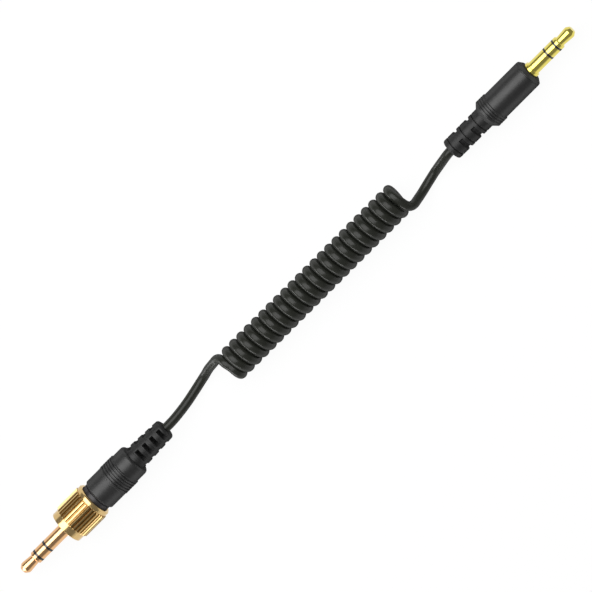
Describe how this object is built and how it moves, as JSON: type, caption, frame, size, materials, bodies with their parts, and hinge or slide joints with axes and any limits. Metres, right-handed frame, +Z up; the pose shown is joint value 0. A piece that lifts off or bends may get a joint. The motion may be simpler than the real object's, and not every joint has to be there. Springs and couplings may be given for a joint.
{
  "type": "coiled stereo audio cord",
  "caption": "Short curly audio cord with a plain moulded 3.5 mm plug at one end and a locking plug with a knurled coupling nut at the other.",
  "frame": {"origin": "middle of the cord's bounding box at rest, on the surface it lies on", "axes": "+X from the locking plug's tip to the plain plug's tip, +Z up"},
  "size_m": [0.197, 0.0106, 0.0102],
  "materials": {
    "rose_gold_contact": "polished",
    "yellow_gold_contact": "polished",
    "insulator": "gloss",
    "nut_gold": "polished",
    "plated_steel": "satin",
    "neck_black": "satin",
    "moulded_black": "satin",
    "boot_black": "satin",
    "cord_black": "gloss",
    "natural_plastic": "matte",
    "wire_red": "gloss"
  },
  "bodies": {
    "lock_plug": {"lock_tip_contact": "rose_gold_contact", "lock_tip_insulator": "insulator", "lock_ring_contact": "rose_gold_contact", "lock_ring_insulator": "insulator", "lock_sleeve_contact": "rose_gold_contact", "lock_bush": "plated_steel", "lock_neck": "neck_black", "lock_body": "moulded_black", "lock_inner_mould": "natural_plastic", "lock_wires": "wire_red", "lock_cord_crimp": "plated_steel", "lock_strain_relief": "boot_black", "lock_cord_end": "cord_black", "lead_lock_side": "cord_black", "coil": "cord_black"},
    "snap_ring": {"lock_snap_ring": "plated_steel"},
    "coupling_nut": {"lock_nut": "nut_gold"},
    "plain_plug": {"plug_tip_contact": "yellow_gold_contact", "plug_tip_insulator": "insulator", "plug_ring_contact": "yellow_gold_contact", "plug_ring_insulator": "insulator", "plug_sleeve_contact": "yellow_gold_contact", "plug_body": "moulded_black", "plug_inner_mould": "natural_plastic", "plug_wires": "wire_red", "plug_cord_crimp": "plated_steel", "plug_strain_relief": "boot_black", "plug_cord_end": "cord_black", "lead_plug_side": "cord_black"}
  },
  "joints": [
    {"name": "nut_slide", "type": "slide", "parent": "lock_plug", "child": "snap_ring", "axis": [1, 0, 0], "range_m": [0, 0.0012]},
    {"name": "nut_spin", "type": "hinge", "parent": "snap_ring", "child": "coupling_nut", "pos_m": [-0.07699, 0.0002, 0.00513], "axis": [1, 0, 0], "continuous": true},
    {"name": "coil_stretch", "type": "slide", "parent": "lock_plug", "child": "plain_plug", "axis": [1, 0, 0], "range_m": [0, 0.15], "stiffness_N_per_m": 20, "deforming": ["coil"]}
  ]
}
